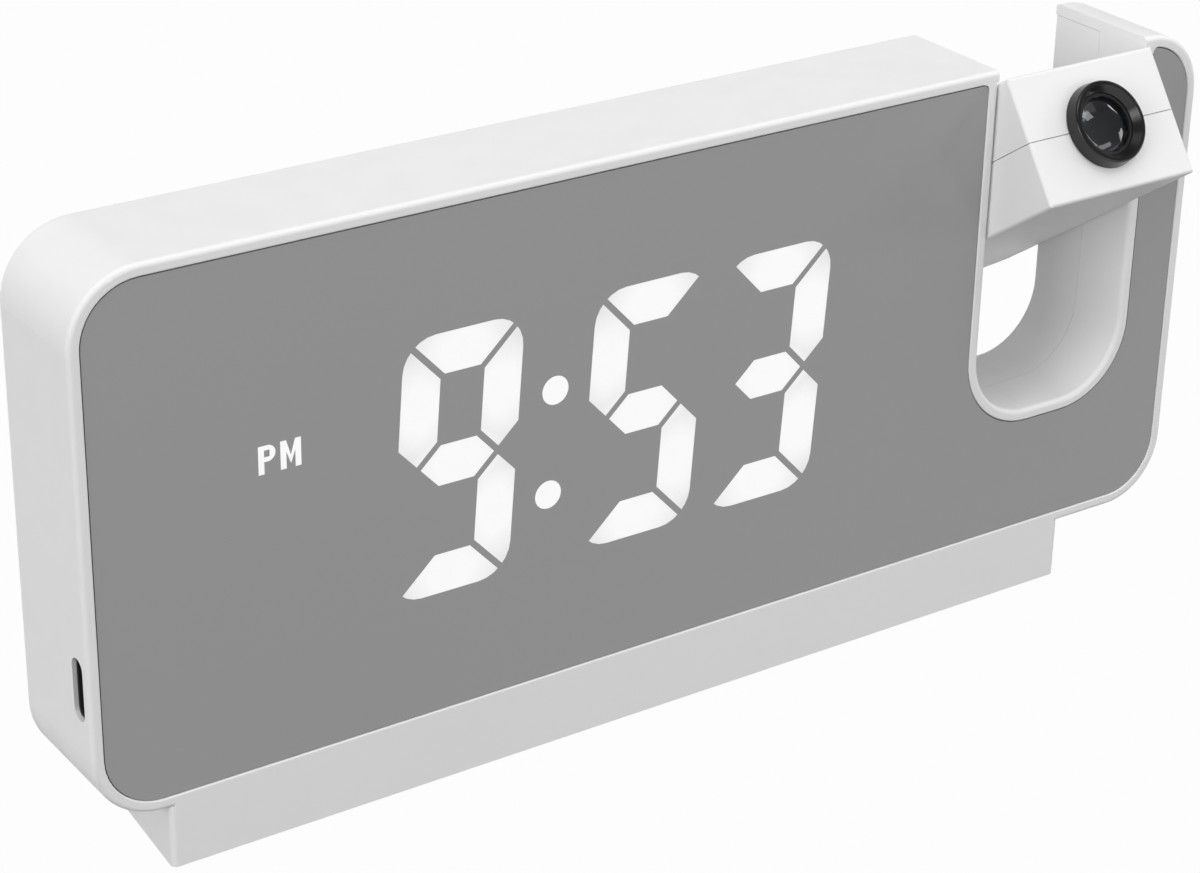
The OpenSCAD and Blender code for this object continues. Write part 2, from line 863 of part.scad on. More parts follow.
module board_screws() {
  color(steel) face() {
    for (p = board_posts) translate([p[0], p[1], 0])
      rear_screw(display_board_y + board_t + 0.9, display_screw_len, board_screw_r, board_screw_head_r, 0.9);
    for (p = spacer_spots) translate([p[0], p[1], 0])
      rear_screw(board_back + 0.9, main_screw_len, board_screw_r, board_screw_head_r, 0.9);
  }
}

// ---------- foot ----------

// The foot seen from above, drawn in by a distance; Y runs to the back
module foot_plan(inset) {
  lean = sqrt(1 + foot_taper * foot_taper);
  front = max(foot_edge - inset, 0.3);
  rear = max(foot_rear_r - inset, 1);
  low = inset + front;
  high = foot_d - inset - rear;
  left = [foot_left + foot_taper * low + (inset + front) * lean,
    foot_left + foot_taper * high + (inset + rear) * lean];
  right = [foot_right - foot_taper * low - (inset + front) * lean,
    foot_right - foot_taper * high - (inset + rear) * lean];
  out = [1, foot_taper] / lean;
  polygon([
    [left[0], inset], [right[0], inset],
    [right[0] + front * out[0], low + front * out[1]],
    [right[1] + rear * out[0], high + rear * out[1]],
    [right[1], foot_d - inset], [left[1], foot_d - inset],
    [left[1] - rear * out[0], high + rear * out[1]],
    [left[0] - front * out[0], low + front * out[1]]
  ]);
  for (x = [left[0], right[0]]) translate([x, low]) circle(front);
  for (x = [left[1], right[1]]) translate([x, high]) circle(rear);
}

// The foot's side view: flat under the case, then falling to the rear edge
module foot_side(inset) {
  rotate([90, 0, 90]) translate([0, 0, foot_left - 1]) linear_extrude(foot_right - foot_left + 2)
    polygon([[-1, -1], [-1, foot_h - inset], [foot_flat_d, foot_h - inset],
      [foot_d + 1, foot_rear_h - inset], [foot_d + 1, -1]]);
}

module foot_frame() {
  translate([0, front_y, mat_proud]) children();
}

module foot_mass(inset) {
  intersection() {
    linear_extrude(foot_h) foot_plan(inset);
    foot_side(inset);
  }
}

module foot() {
  color(white) foot_frame() difference() {
    union() {
      difference() {
        foot_mass(0);
        intersection() {
          translate([0, 0, -1]) linear_extrude(foot_h) foot_plan(foot_wall);
          foot_side(foot_wall);
        }
      }
      intersection() {
        for (p = foot_corners) translate([p[0], p[1], foot_cover_t]) cylinder(r = corner_boss_r, h = foot_h);
        foot_mass(foot_wall / 2);
      }
    }
    for (p = foot_bosses) translate([p[0], p[1], 0]) cylinder(r = screw_r + 0.3, h = foot_h + 1);
    for (p = foot_corners) translate([p[0], p[1], 0])
      cylinder(r = cover_screw_r, h = foot_rear_h - foot_wall + 0.4);
  }
}

module foot_cover() {
  color(white) foot_frame() difference() {
    linear_extrude(foot_cover_t) foot_plan(foot_wall + 0.1);
    translate([0, 0, -eps]) linear_extrude(mat_t - mat_proud + eps) foot_plan(foot_wall + 1.4);
    for (p = foot_corners) translate([p[0], p[1], -1])
      cylinder(r = cover_screw_r + 0.3, h = foot_cover_t + 2);
  }
}

module anti_slip_mat() {
  color([0.2, 0.2, 0.2]) foot_frame() translate([0, 0, -mat_proud]) difference() {
    linear_extrude(mat_t) foot_plan(foot_wall + 1.5);
    for (p = foot_corners) translate([p[0], p[1], -1]) cylinder(r = cover_screw_head_r + 0.3, h = mat_t + 2);
  }
}

module ballast_plate() {
  color("dimgray") foot_frame() translate([foot_left + ballast_inset, ballast_y, foot_cover_t])
    cube([foot_right - foot_left - 2 * ballast_inset, ballast_w, ballast_t]);
}

module foot_screws() {
  color(steel) foot_frame() for (p = foot_bosses) translate([p[0], p[1], 0]) {
    translate([0, 0, foot_h - foot_wall - foot_screw_head_h])
      cylinder(r = foot_screw_head_r, h = foot_screw_head_h);
    translate([0, 0, foot_h - foot_wall - eps]) cylinder(r = screw_r, h = foot_wall + foot_boss_len - 1);
  }
}

module foot_cover_screws() {
  color(steel) foot_frame() for (p = foot_corners) translate([p[0], p[1], 0]) {
    translate([0, 0, mat_t - mat_proud - cover_screw_head_h])
      cylinder(r = cover_screw_head_r, h = cover_screw_head_h);
    translate([0, 0, mat_t - mat_proud - eps]) cylinder(r = cover_screw_r, h = foot_cover_t + 1);
  }
}

// ---------- buttons and cell door ----------

// A button's outline, grown by a distance: a bar if it has a length, else round
module button_outline(len, grow) {
  if (len > 0) stadium(len + 2 * grow, snooze_h + 2 * grow);
  else circle(button_r + grow);
}

// A captive button: the cap, a flange behind the cover and a stem to its switch
module captive_button(x, h, len = 0) {
  color(white) face() translate([x, h, 0]) {
    layer(flange_back, cover_in - press_gap) button_outline(len, flange);
    layer(cover_in - press_gap - eps, cover_out + button_proud) button_outline(len, 0);
    layer(stem_tip, flange_back + eps) circle(stem_r);
  }
}

module row_button(i) {
  captive_button(button_x0 + i * button_pitch, button_row_h);
}

module snooze_bar() {
  captive_button(snooze_x, snooze_row_h, snooze_len);
}

module alarm_button() {
  row_button(0);
}

module mode_button() {
  row_button(1);
}

module up_button() {
  row_button(2);
}

module down_button() {
  row_button(3);
}

module projection_button() {
  row_button(4);
}

// The outline of the door's two lugs, and of the way through for them
module door_bar(r, w) {
  intersection() {
    circle(r);
    square([2 * r, w], center = true);
  }
}

// A door with a coin slot, whose two lugs turn under the cover's rim
module cell_door() {
  plug_r = door_r - door_ledge - door_gap;
  color(white) face() translate([cell_x, cell_h, 0]) difference() {
    union() {
      layer(cover_out - door_step + 0.1, cover_out) circle(door_r);
      layer(contact_back + press_gap, cover_out - door_step + 0.2) circle(plug_r);
      layer(contact_back - 0.15, door_rim_y - press_gap) difference() {
        door_bar(door_r - door_gap / 3, door_lug_w);
        circle(plug_r - 0.5);
      }
    }
    layer(cover_out - 0.7, case_d + 1) stadium(14, 1.8);
  }
}

// ---------- projector head ----------

// A rectangle round the middle, with rounded corners
module middle_rect(w, h, r) {
  square([w - 2 * r, h], center = true);
  square([w, h - 2 * r], center = true);
  for (x = [r - w / 2, w / 2 - r], y = [r - h / 2, h / 2 - r]) translate([x, y]) circle(r);
}

// The head's straight sides and lens face, from its tail to the face
module head_block() {
  len = tail_r + 5 + lens_reach;
  middle = (lens_reach - tail_r - 5) / 2;
  translate([0, middle, 0]) intersection() {
    rotate([90, 0, 0]) translate([0, 0, -len / 2]) linear_extrude(len) middle_rect(head_w, case_d, head_edge);
    translate([0, 0, -case_d / 2]) linear_extrude(case_d) middle_rect(head_w, len, head_edge);
    rotate([0, 90, 0]) translate([0, 0, -head_w / 2]) linear_extrude(head_w)
      middle_rect(case_d, len, head_edge);
  }
}

// The head's whole form, drawn in by a distance: a flat block whose tail is
// turned about the pivot so that it clears the notch
module head_form(inset) {
  w = head_w - 2 * inset;
  t = case_d - 2 * inset;
  corner = tail_corner - inset;
  flat = head_w / 2 - tail_corner;
  intersection() {
    if (inset > 0) translate([-w / 2, -tail_r - 5, -t / 2]) cube([w, tail_r + 5 + lens_reach - inset, t]);
    else head_block();
    rotate([0, 90, 0]) rotate_extrude() {
      translate([0, -flat]) square([tail_r - inset, 2 * flat]);
      translate([0, -w / 2]) square([tail_r - tail_corner, w]);
      for (s = [-1, 1]) translate([tail_r - tail_corner, s * flat]) circle(corner);
    }
  }
}

module half_space(s) {
  translate([-through / 2, -through / 2, s > 0 ? 0 : -through]) cube(through);
}

module head_half(s) {
  difference() {
    union() {
      difference() {
        head_form(0);
        head_form(head_wall);
      }
      intersection() {
        for (p = head_bosses) translate([p[0], p[1], -case_d / 2]) cylinder(r = head_boss_r, h = case_d);
        head_form(0.5);
      }
    }
    half_space(-s);
    // the visible parting line
    difference() {
      translate([-through / 2, -through / 2, -seam / 2]) cube([through, through, seam]);
      head_form(0.6);
    }
    rotate([0, 90, 0]) cylinder(r = pivot_r, h = head_w + 2, center = true);
    translate([0, lens_reach - head_wall - 1, 0]) rotate([-90, 0, 0])
      cylinder(r = neck_r + running_fit, h = head_wall + 2);
    if (s > 0) for (p = head_bosses) translate([p[0], p[1], -1]) {
      cylinder(r = head_screw_r + 0.2, h = case_d);
      translate([0, 0, case_d / 2 + 1 - screw_head_h]) cylinder(r = head_screw_head_r + 0.15, h = 3);
    }
    if (s < 0) for (p = head_bosses) translate([p[0], p[1], -head_screw_reach - 0.5])
      cylinder(r = head_screw_r, h = head_screw_reach + 1.5);
  }
}

module head_upper_shell() {
  color(white) head() head_half(1);
}

module head_lower_shell() {
  color(white) head() head_half(-1);
}

module head_screws() {
  color(steel) head() for (p = head_bosses) translate([p[0], p[1], 0]) {
    translate([0, 0, case_d / 2 - screw_head_h]) cylinder(r = head_screw_head_r, h = screw_head_h - 0.1);
    translate([0, 0, -head_screw_reach])
      cylinder(r = head_screw_r, h = case_d / 2 - screw_head_h + head_screw_reach + eps);
  }
}

// A pivot on the left (s = -1) or the right (s = 1), with an outer collar that
// holds it in the case and an inner flange that holds it in the head
module pivot(s, bore) {
  out = notch_w / 2 + saddle_len + 0.1;
  in = head_w / 2 - head_wall;
  head() rotate([0, s * 90, 0]) difference() {
    union() {
      translate([0, 0, in - 1.2]) cylinder(r = pivot_r, h = out + collar_t - in + 1.2);
      translate([0, 0, out]) cylinder(r = collar_r, h = collar_t);
      translate([0, 0, in - 1.2]) cylinder(r = collar_r, h = 1.2);
    }
    if (bore > 0) translate([0, 0, in - 3]) cylinder(r = bore, h = out + 6);
  }
}

module pivot_tube() {
  color([0.9, 0.9, 0.88]) pivot(-1, pivot_bore_r);
}

module pivot_pin() {
  color([0.9, 0.9, 0.88]) pivot(1, 0);
}

module friction_rings() {
  color([0.12, 0.12, 0.12]) head() for (s = [-1, 1]) rotate([0, s * 90, 0])
    translate([0, 0, notch_w / 2 + saddle_len - ring_cord - 1 + running_fit])
      rotate_extrude() translate([pivot_r + ring_cord, 0]) circle(ring_cord);
}

module lamp_housing() {
  color([0.15, 0.15, 0.16]) head() difference() {
    translate([-housing_w / 2, led_board_s - 0.2, head_wall - case_d / 2])
      cube([housing_w, housing_end - led_board_s + 0.2, case_d - 2 * head_wall]);
    translate([-led_board_w / 2, led_board_s - 2, -led_board_h / 2])
      cube([led_board_w, led_s - led_board_s + 2, led_board_h]);
    rotate([-90, 0, 0]) cylinder(r = 5, h = through);
    translate([0, condenser_s, 0]) rotate([-90, 0, 0]) cylinder(r = condenser_r, h = condenser_t);
    translate([-slide_w / 2 - 0.1, slide_s, -slide_w / 2 - 0.1]) cube([slide_w + 0.2, 1.1, case_d]);
    translate([0, slide_s + 1, 0]) rotate([-90, 0, 0]) cylinder(r = 5.6, h = 2);
  }
}

module led_board() {
  color(board_green) head() translate([-led_board_w / 2, led_board_s, -led_board_h / 2])
    cube([led_board_w, led_s - led_board_s, led_board_h]);
}

module projector_led() {
  color("lightyellow") on_lens_axis() {
    translate([0, led_s]) square([2.5, 1.6]);
    translate([0, led_s + 1.6]) intersection() {
      circle(2);
      square(3);
    }
  }
}

module condenser_lens() {
  color([0.8, 0.88, 0.92, 0.6]) on_lens_axis() intersection() {
    translate([0, condenser_s]) square([condenser_r, condenser_t]);
    translate([0, condenser_s + condenser_t - 9]) circle(9);
  }
}

module time_slide() {
  color([0.3, 0.34, 0.3, 0.8]) head() translate([-slide_w / 2, slide_s + 0.05, -slide_w / 2])
    cube([slide_w, 1, slide_w]);
}

// The lead from the lamp board, out through the hollow pivot to the case
module projector_lead() {
  r = 1;
  x_in = -5;
  x_out = -(notch_l - board_rt + notch_w / 2 - 0.4);
  color("black") head() {
    rotate([0, -90, 0]) translate([0, 0, -x_in]) cylinder(r = r, h = x_in - x_out);
    translate([x_in, 0, 0]) sphere(r);
    translate([x_in, 0, 0]) rotate([-90, 0, 0]) cylinder(r = r, h = led_board_s);
  }
}

module focus_ring() {
  lip = 0.35;
  front_r = ring_r - 0.25;
  color([0.06, 0.06, 0.06]) on_lens_axis() difference() {
    union() {
      polygon([[0, lens_reach + 0.15], [ring_r, lens_reach + 0.15],
        [front_r, ring_front - lip], [front_r - lip, ring_front], [0, ring_front]]);
      translate([front_r - lip, ring_front - lip]) circle(lip);
      translate([0, lens_reach - head_wall - 1.2]) square([neck_r, head_wall + 2]);
      translate([0, lens_reach - head_wall - 1.2]) square([ring_flange_r, 1.1]);
    }
    translate([0, -1]) square([barrel_r + running_fit, through]);
    polygon([[0, ring_front + 0.02], [front_r - 2 * lip, ring_front + 0.02],
      [barrel_r + running_fit, ring_front - 1.1], [0, ring_front - 1.1]]);
  }
}

module lens_barrel() {
  color([0.05, 0.05, 0.05]) on_lens_axis() difference() {
    translate([0, barrel_back]) square([barrel_r, barrel_tip_s - barrel_back]);
    translate([0, barrel_back - 1]) square([lens_r - 0.7, through]);
    translate([0, lens_edge_s - lens_t]) square([lens_r, through]);
  }
}

module projection_lens() {
  color([0.75, 0.8, 0.85, 0.6]) on_lens_axis() {
    translate([0, lens_edge_s - lens_t]) square([lens_r, lens_t]);
    intersection() {
      translate([0, lens_edge_s + dome - dome_r]) circle(dome_r);
      translate([0, lens_edge_s - eps]) square([lens_r, dome + 1]);
    }
  }
}

// ---------- assembly ----------

front_shell();
rear_cover();
mirror_panel();
hour_segments();
minute_tens_segments();
minute_units_segments();
colon_dots();
pm_indicator();
display_reflector();
display_board();
usb_c_socket();
board_header();
controller_chip();
lead_socket();
board_spacers();
main_board();
tact_switches();
buzzer();
cell_holder();
coin_cell();
cell_contact();
board_screws();
case_screws();
foot();
foot_cover();
ballast_plate();
anti_slip_mat();
foot_screws();
foot_cover_screws();
snooze_bar();
alarm_button();
mode_button();
up_button();
down_button();
projection_button();
cell_door();
head_upper_shell();
head_lower_shell();
pivot_tube();
pivot_pin();
friction_rings();
lamp_housing();
led_board();
projector_led();
condenser_lens();
time_slide();
head_screws();
projector_lead();
focus_ring();
lens_barrel();
projection_lens();
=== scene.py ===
import json
import math

import bpy
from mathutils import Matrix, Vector

# Projection alarm clock in a plain bright studio. All the shapes come from the part's own
# solids, and this script gives them their materials, the camera, the floor and the light.
# Lengths are in metres where nothing else is said.
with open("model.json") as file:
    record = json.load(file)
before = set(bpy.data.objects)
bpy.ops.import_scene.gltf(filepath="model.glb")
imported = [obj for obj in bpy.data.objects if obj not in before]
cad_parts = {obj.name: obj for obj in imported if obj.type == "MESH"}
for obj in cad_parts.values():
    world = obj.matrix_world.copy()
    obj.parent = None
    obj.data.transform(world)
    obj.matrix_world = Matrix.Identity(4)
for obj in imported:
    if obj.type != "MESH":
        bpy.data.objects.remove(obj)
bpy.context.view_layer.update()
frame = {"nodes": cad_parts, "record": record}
NODES = frame["nodes"]
MM = 0.001

# ---------- camera: fitted to the photograph, in the row frame ----------
CAMERA_PLACE = (-0.23166, -0.33917, 0.23000)
CAMERA_TURN = (64.3405, -0.9632, -34.1410)  # degrees
FOCAL_LENGTH = 93.06  # millimetres, as the sensor's width
SENSOR_WIDTH = 36.0
NEAREST_SEEN = 0.01

camera_data = bpy.data.cameras.new("camera")
camera_data.lens = FOCAL_LENGTH
camera_data.sensor_width = SENSOR_WIDTH
camera_data.clip_start = NEAREST_SEEN
camera = bpy.data.objects.new("camera", camera_data)
camera.location = CAMERA_PLACE
camera.rotation_euler = [math.radians(angle) for angle in CAMERA_TURN]
bpy.context.scene.collection.objects.link(camera)
bpy.context.scene.camera = camera
bpy.context.scene.view_settings.view_transform = "Standard"

# ---------- display: these sizes repeat those of the part's source ----------
CASE_Z = 9.9 * MM
CASE_H = 77 * MM
DIGIT_W = 18.6 * MM
DIGIT_H = 38.1 * MM
DIGIT_RISE = 0.45 * MM
DIGIT_BASE = CASE_Z + CASE_H / 2 + DIGIT_RISE - DIGIT_H / 2
SEGMENT_T = 5.9 * MM
SLANT = math.tan(math.radians(3.8))

# Heights of the upright segments' middles, as shares of the digit's height
UPPER_MIDDLE = 0.735
LOWER_MIDDLE = 0.265

# Middle of the colon, and the left edges of the digits
COLON_X = -22.7 * MM
HOUR_LEFT = COLON_X - 25.5 * MM
MINUTE_TENS_LEFT = COLON_X + 4.5 * MM
MINUTE_UNITS_LEFT = MINUTE_TENS_LEFT + 21.4 * MM

# Middles of the colon's dots and of the letters PM, with heights above the case's underside
COLON_HEIGHTS = (45.5 * MM, 30 * MM)
PM_X = -64 * MM
PM_HEIGHT = 46.5 * MM

# How far the light reaches from a segment's middle: along a level segment, along an upright
# one, and across either. A dot or letter is far smaller than its reach, so it is evenly bright
REACH_LEVEL = 9.5 * MM
REACH_UPRIGHT = 9 * MM
REACH_ACROSS = 7 * MM
REACH_DOT = 20 * MM

# ---------- looks ----------
WHITE = (1, 1, 1)

# Noise scales, in cells to the metre
TONE_CLOUDS = 38
GLOSS_CLOUDS = 260
METAL_STREAKS = 900
BOARD_TRACKS = 220
BOARD_GLOSS = 400
MIRROR_TONE = 12
MIRROR_GLOSS = 60
MIRROR_WAVES = 25
GLASS_TONE = 90
GLASS_SMUDGES = 500
GLASS_WAVES = 300
GUIDE_CLOUDS = 350
GUIDE_GLOSS = 600
PAPER_CLOUDS = 6

# Greys of the mirror, of a light guide at its brightest and at its ends, of the unlit guide
# itself, and of the floor's paper
MIRROR_GREYS = (0.349, 0.355)
GUIDE_BRIGHT = 0.80
GUIDE_END = 0.52
GUIDE_BODY = 0.16
PAPER_GREYS = (0.12, 0.13)

# Moulded plastics and rubber: name, colour, roughness, width and depth of the grain in
# millimetres, share by which the tone varies, and level of the gloss
MOULDED = (
    ("white_gloss_plastic", (0.86, 0.86, 0.86), 0.50, 0.9, 0.01, 0.004, 0.35),
    ("white_satin_plastic", (0.81, 0.81, 0.81), 0.48, 0.4, 0.04, 0.012, 0.50),
    ("black_plastic", (0.018, 0.018, 0.019), 0.50, 0.4, 0.03, 0.10, 0.50),
    ("black_gloss_plastic", (0.010, 0.010, 0.010), 0.22, 0.6, 0.01, 0.10, 0.50),
    ("ivory_plastic", (0.75, 0.73, 0.66), 0.42, 0.5, 0.03, 0.03, 0.50),
    ("dark_rubber", (0.03, 0.03, 0.03), 0.75, 0.3, 0.06, 0.15, 0.50),
)

# Metals: name, colour and roughness
PLATED = (
    ("bright_steel", (0.62, 0.62, 0.63), 0.28),
    ("brass", (0.72, 0.53, 0.22), 0.30),
)

# Glasses: name, tint, roughness and share of the light that passes
GLASSES = (
    ("lens_glass", (0.36, 0.38, 0.41), 0.01, 1.0),
    ("smoked_glass", (0.15, 0.17, 0.15), 0.05, 0.9),
)


class NodeTree:
    """A short way to write the nodes of a material or of the world."""

    def __init__(self, owner, output="ShaderNodeOutputMaterial"):
        self.owner = owner
        owner.use_nodes = True
        self.tree = owner.node_tree
        self.tree.nodes.clear()
        self.output = self.add(output)

    def add(self, kind, **settings):
        node = self.tree.nodes.new(kind)
        for name, value in settings.items():
            setattr(node, name, value)
        return node

    def put(self, value, socket):
        """Links another node's output, or sets a number, vector or colour on the socket itself."""
        if isinstance(value, bpy.types.NodeSocket):
            self.tree.links.new(value, socket)
        elif socket.type == "RGBA":
            socket.default_value = (*value, 1)
        else:
            socket.default_value = value

    def filled(self, kind, sockets, **settings):
        """A new node with a value in each of the named or numbered sockets."""
        node = self.add(kind, **settings)
        for name, value in sockets.items():
            self.put(value, node.inputs[name])
        return node

    def coords(self, stretch=(1, 1, 1)):
        """The place on the object in metres, which is the place in the row frame."""
        place = self.add("ShaderNodeTexCoord").outputs["Object"]
        return self.filled("ShaderNodeMapping", {"Vector": place, "Scale": stretch}).outputs["Vector"]

    def noise(self, scale, detail=3.0, stretch=(1, 1, 1)):
        sockets = {"Vector": self.coords(stretch), "Scale": scale, "Detail": detail}
        return self.filled("ShaderNodeTexNoise", sockets).outputs["Fac"]

    def spread(self, value, low, high, start=0.3, end=0.7):
        """Runs from low, where the value is at start, to high, where it is at end."""
        sockets = {"Value": value, "From Min": start, "From Max": end, "To Min": low, "To Max": high}
        return self.filled("ShaderNodeMapRange", sockets).outputs["Result"]

    def shade(self, value, first, second):
        """The first colour where the value is 0 and the second where it is 1."""
        sockets = {"Factor": value, "A": first, "B": second}
        return self.filled("ShaderNodeMix", sockets, data_type="RGBA").outputs["Result"]

    def calculate(self, operation, first, second):
        return self.filled("ShaderNodeMath", {0: first, 1: second}, operation=operation).outputs["Value"]

    def bump(self, height, strength, distance):
        sockets = {"Height": height, "Strength": strength, "Distance": distance}
        return self.filled("ShaderNodeBump", sockets).outputs["Normal"]

    def mixed(self, share, first, second):
        """The first shader where the share is 0 and the second where it is 1."""
        return self.filled("ShaderNodeMixShader", {"Fac": share, 1: first, 2: second}).outputs["Shader"]

    def end_in(self, shader):
        self.put(shader, self.output.inputs["Surface"])

    def surface(self, **sockets):
        """Ends in a principled shader, an underscore standing for a space in a socket's name."""
        named = {name.replace("_", " "): value for name, value in sockets.items()}
        self.end_in(self.filled("ShaderNodeBsdfPrincipled", named).outputs["BSDF"])


def material_nodes(name):
    return NodeTree(bpy.data.materials.new(name))


def grey(level):
    return (level, level, level)


def scaled(color, factor):
    return tuple(channel * factor for channel in color)


# ---------- materials ----------
def moulded(name, color, roughness, grain, depth, vary, gloss_level):
    """Moulded plastic or rubber: cloudy tone, uneven gloss and a fine grain."""
    nodes = material_nodes(name)
    clouds = nodes.spread(nodes.noise(TONE_CLOUDS), 0, 1)
    height = nodes.noise(1 / (grain * MM), detail=2.0)
    nodes.surface(Base_Color=nodes.shade(clouds, scaled(color, 1 - vary), scaled(color, 1 + vary)),
                  Roughness=nodes.spread(nodes.noise(GLOSS_CLOUDS), roughness * 0.85, roughness * 1.15),
                  Normal=nodes.bump(height, strength=0.25, distance=depth * MM),
                  Specular_IOR_Level=gloss_level)
    return nodes.owner


def plated(name, color, roughness):
    """Turned or rolled metal: fine streaks with a soft variation."""
    nodes = material_nodes(name)
    streaks = nodes.noise(METAL_STREAKS, detail=4.0, stretch=(1, 12, 1))
    nodes.surface(Base_Color=nodes.shade(nodes.spread(streaks, 0, 1), scaled(color, 0.85), color),
                  Roughness=nodes.spread(streaks, roughness * 0.8, roughness * 1.3),
                  Normal=nodes.bump(streaks, strength=0.15, distance=0.02 * MM),
                  Metallic=1.0)
    return nodes.owner


def circuit_board():
    """Green solder mask that stands a little proud over the tracks."""
    nodes = material_nodes("circuit_board")
    sockets = {"Vector": nodes.coords(), "Scale": BOARD_TRACKS, "Mortar Size": 0.03}
    tracks = nodes.filled("ShaderNodeTexBrick", sockets).outputs["Fac"]
    nodes.surface(Base_Color=nodes.shade(tracks, (0.012, 0.12, 0.045), (0.03, 0.22, 0.09)),
                  Roughness=nodes.spread(nodes.noise(BOARD_GLOSS), 0.3, 0.45),
                  Normal=nodes.bump(tracks, strength=0.3, distance=0.03 * MM))
    return nodes.owner


def mirror():
    """Smoked half mirror. The photograph shows it as one even grey, so it is that grey under a
    sharp clear gloss."""
    nodes = material_nodes("smoked_mirror")
    clouds = nodes.spread(nodes.noise(MIRROR_TONE), 0, 1)
    waves = nodes.noise(MIRROR_WAVES, detail=1.0)
    nodes.surface(Base_Color=nodes.shade(clouds, *(grey(level) for level in MIRROR_GREYS)),
                  Roughness=nodes.spread(nodes.noise(MIRROR_GLOSS), 0.015, 0.03),
                  Normal=nodes.bump(waves, strength=0.02, distance=0.01 * MM),
                  IOR=1.5, Specular_IOR_Level=0.3)
    return nodes.owner


def glass(name, tint, roughness, clear):
    """Tinted glass or clear plastic with faint smudges."""
    nodes = material_nodes(name)
    clouds = nodes.spread(nodes.noise(GLASS_TONE), 0, 1)
    waves = nodes.noise(GLASS_WAVES, detail=1.0)
    nodes.surface(Base_Color=nodes.shade(clouds, scaled(tint, 0.96), tint),
                  Roughness=nodes.spread(nodes.noise(GLASS_SMUDGES), roughness, roughness * 2.5),
                  Normal=nodes.bump(waves, strength=0.02, distance=0.01 * MM),
                  Transmission_Weight=clear, IOR=1.49, Specular_IOR_Level=0.3)
    return nodes.owner


def lit(name, spots):
    """A milky light guide: brightest over each lamp, greyer towards the segment's ends. A spot
    is a lamp's place in X and Z and its reach along each."""
    nodes = material_nodes(name)
    place = nodes.filled("ShaderNodeSeparateXYZ", {"Vector": nodes.coords()})
    nearest = None
    for spot_x, spot_z, reach_x, reach_z in spots:
        squares = []
        for axis, spot, reach in (("X", spot_x, reach_x), ("Z", spot_z, reach_z)):
            away = nodes.calculate("SUBTRACT", place.outputs[axis], spot)
            share = nodes.calculate("DIVIDE", away, reach)
            squares.append(nodes.calculate("MULTIPLY", share, share))
        far = nodes.calculate("ADD", *squares)
        nearest = far if nearest is None else nodes.calculate("MINIMUM", nearest, far)
    fall = nodes.spread(nearest, 0, 1, start=0.12, end=1.25)
    cloudy = nodes.calculate("ADD", fall, nodes.spread(nodes.noise(GUIDE_CLOUDS), -0.04, 0.04))
    nodes.surface(Base_Color=grey(GUIDE_BODY),
                  Roughness=nodes.spread(nodes.noise(GUIDE_GLOSS), 0.25, 0.4),
                  Emission_Color=nodes.shade(cloudy, grey(GUIDE_BRIGHT), grey(GUIDE_END)),
                  Emission_Strength=1.0)
    return nodes.owner


def segment_spots(left, names):
    """The spots of a digit's lit segments, named a to g as usual, from the digit's left edge.
    The segment e is dark in 9, 5 and 3."""
    half = SEGMENT_T / 2
    middle, right = DIGIT_W / 2, DIGIT_W - half
    high, low = UPPER_MIDDLE * DIGIT_H, LOWER_MIDDLE * DIGIT_H
    level = {"a": DIGIT_H - half, "g": DIGIT_H / 2, "d": half}
    upright = {"f": (half, high), "b": (right, high), "c": (right, low)}
    spots = []
    for name in names:
        if name in level:
            x, z = middle, level[name]
            reach = (REACH_LEVEL, REACH_ACROSS)
        else:
            x, z = upright[name]
            reach = (REACH_ACROSS, REACH_UPRIGHT)
        spots.append((left + x + z * SLANT, DIGIT_BASE + z, *reach))
    return spots


def dot_spot(x, height):
    return (x, CASE_Z + height, REACH_DOT, REACH_DOT)


MATERIALS = {"smoked_mirror": mirror(), "circuit_board": circuit_board()}
for make, rows in ((moulded, MOULDED), (plated, PLATED), (glass, GLASSES)):
    MATERIALS.update({row[0]: make(*row) for row in rows})

LIT = {
    "hour_segments": lit("lit_hour", segment_spots(HOUR_LEFT, "abcdfg")),
    "minute_tens_segments": lit("lit_minute_tens", segment_spots(MINUTE_TENS_LEFT, "acdfg")),
    "minute_units_segments": lit("lit_minute_units", segment_spots(MINUTE_UNITS_LEFT, "abcdg")),
    "colon_dots": lit("lit_colon", [dot_spot(COLON_X, height) for height in COLON_HEIGHTS]),
    "pm_indicator": lit("lit_pm", [dot_spot(PM_X, PM_HEIGHT)]),
}

for part in frame["record"]["subparts"]:
    node = NODES[part["node"]]
    node.data.materials.clear()
    node.data.materials.append(LIT.get(part["node"]) or MATERIALS[part["material_slot"]])

# ---------- floor: white to the camera and in reflections, but for a small share that still
# shows the object's shadow ----------
FLOOR_SIZE = 8
FLOOR_WHITE = 0.98


def floor_paper():
    nodes = material_nodes("floor_paper")
    path = nodes.add("ShaderNodeLightPath").outputs
    mirrored = nodes.calculate("MAXIMUM", path["Is Glossy Ray"], path["Is Transmission Ray"])
    seen = nodes.calculate("MAXIMUM", path["Is Camera Ray"], mirrored)
    tone = nodes.shade(nodes.noise(PAPER_CLOUDS), *(grey(level) for level in PAPER_GREYS))
    paper = nodes.filled("ShaderNodeBsdfDiffuse", {"Color": tone}).outputs["BSDF"]
    glow = nodes.filled("ShaderNodeEmission", {"Color": WHITE}).outputs["Emission"]
    nodes.end_in(nodes.mixed(nodes.calculate("MULTIPLY", seen, FLOOR_WHITE), paper, glow))
    return nodes.owner


bpy.ops.mesh.primitive_plane_add(size=FLOOR_SIZE, location=(0, 0, 0))
floor = bpy.context.object
floor.name = "floor"
floor.data.materials.append(floor_paper())

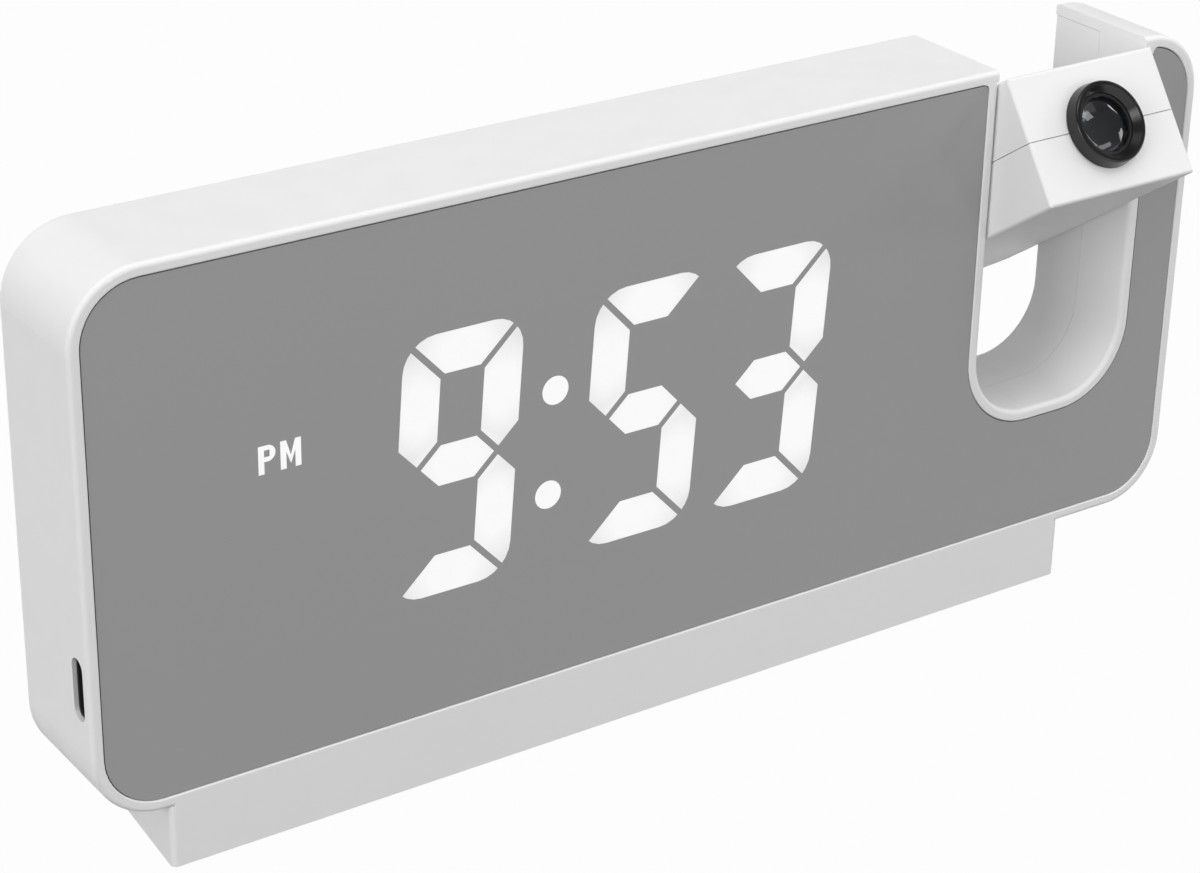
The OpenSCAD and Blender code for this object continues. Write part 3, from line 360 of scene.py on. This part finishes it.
# ---------- room: bright in front and above and dim behind. It is white to the camera and
# through glass, and dimmer in gloss, so that only the softboxes show in the mirror and the lens
BRIGHT_SIDE = (-0.22, -0.90, 0.37)
ROOM_DIM = 0.24
ROOM_BRIGHT = 0.90
ROOM_IN_GLOSS = 0.25


def light_room(world):
    nodes = NodeTree(world, "ShaderNodeOutputWorld")
    path = nodes.add("ShaderNodeLightPath").outputs
    direction = nodes.add("ShaderNodeTexCoord").outputs["Generated"]
    towards = nodes.filled("ShaderNodeVectorMath", {0: direction, 1: BRIGHT_SIDE}, operation="DOT_PRODUCT")
    side = nodes.spread(towards.outputs["Value"], ROOM_DIM, ROOM_BRIGHT, start=-1, end=1)
    gloss = nodes.spread(path["Is Glossy Ray"], 1, ROOM_IN_GLOSS, start=0, end=1)
    level = nodes.calculate("MULTIPLY", side, gloss)
    light = nodes.filled("ShaderNodeBackground", {"Color": WHITE, "Strength": level})
    white = nodes.filled("ShaderNodeBackground", {"Color": WHITE})
    seen = nodes.calculate("MAXIMUM", path["Is Camera Ray"], path["Is Transmission Ray"])
    nodes.end_in(nodes.mixed(seen, light.outputs["Background"], white.outputs["Background"]))


bpy.context.scene.world = bpy.data.worlds.new("studio")
light_room(bpy.context.scene.world)

# ---------- lamps: name, place, width and height, and watts. All aim at the clock's middle, and
# the four small softboxes show as window-like patches in the lens ----------
CLOCK_MIDDLE = (0, 0, 0.05)
LAMPS = (
    ("overhead_softbox", (0.0, 0.0, 1.1), (1.2, 1.0), 2.4),
    ("left_softbox", (-1.28, -0.38, 0.40), (0.7, 0.7), 6.4),
    ("lens_patch_above", (0.19, -0.59, 1.14), (0.30, 0.30), 1.4),
    ("lens_patch_right", (1.14, -0.02, 0.62), (0.30, 0.40), 2.4),
    ("lens_patch_low_right", (1.15, -0.55, 0.19), (0.26, 0.26), 1.1),
    ("lens_patch_low_front", (0.48, -1.16, 0.20), (0.60, 0.14), 1.0),
)


def add_lamp(name, place, size, watts):
    data = bpy.data.lights.new(name, "AREA")
    data.shape = "RECTANGLE"
    data.size, data.size_y = size
    data.energy = watts
    lamp = bpy.data.objects.new(name, data)
    lamp.location = place
    aim = Vector(CLOCK_MIDDLE) - Vector(place)
    lamp.rotation_euler = aim.to_track_quat("-Z", "Y").to_euler()
    bpy.context.scene.collection.objects.link(lamp)


for row in LAMPS:
    add_lamp(*row)
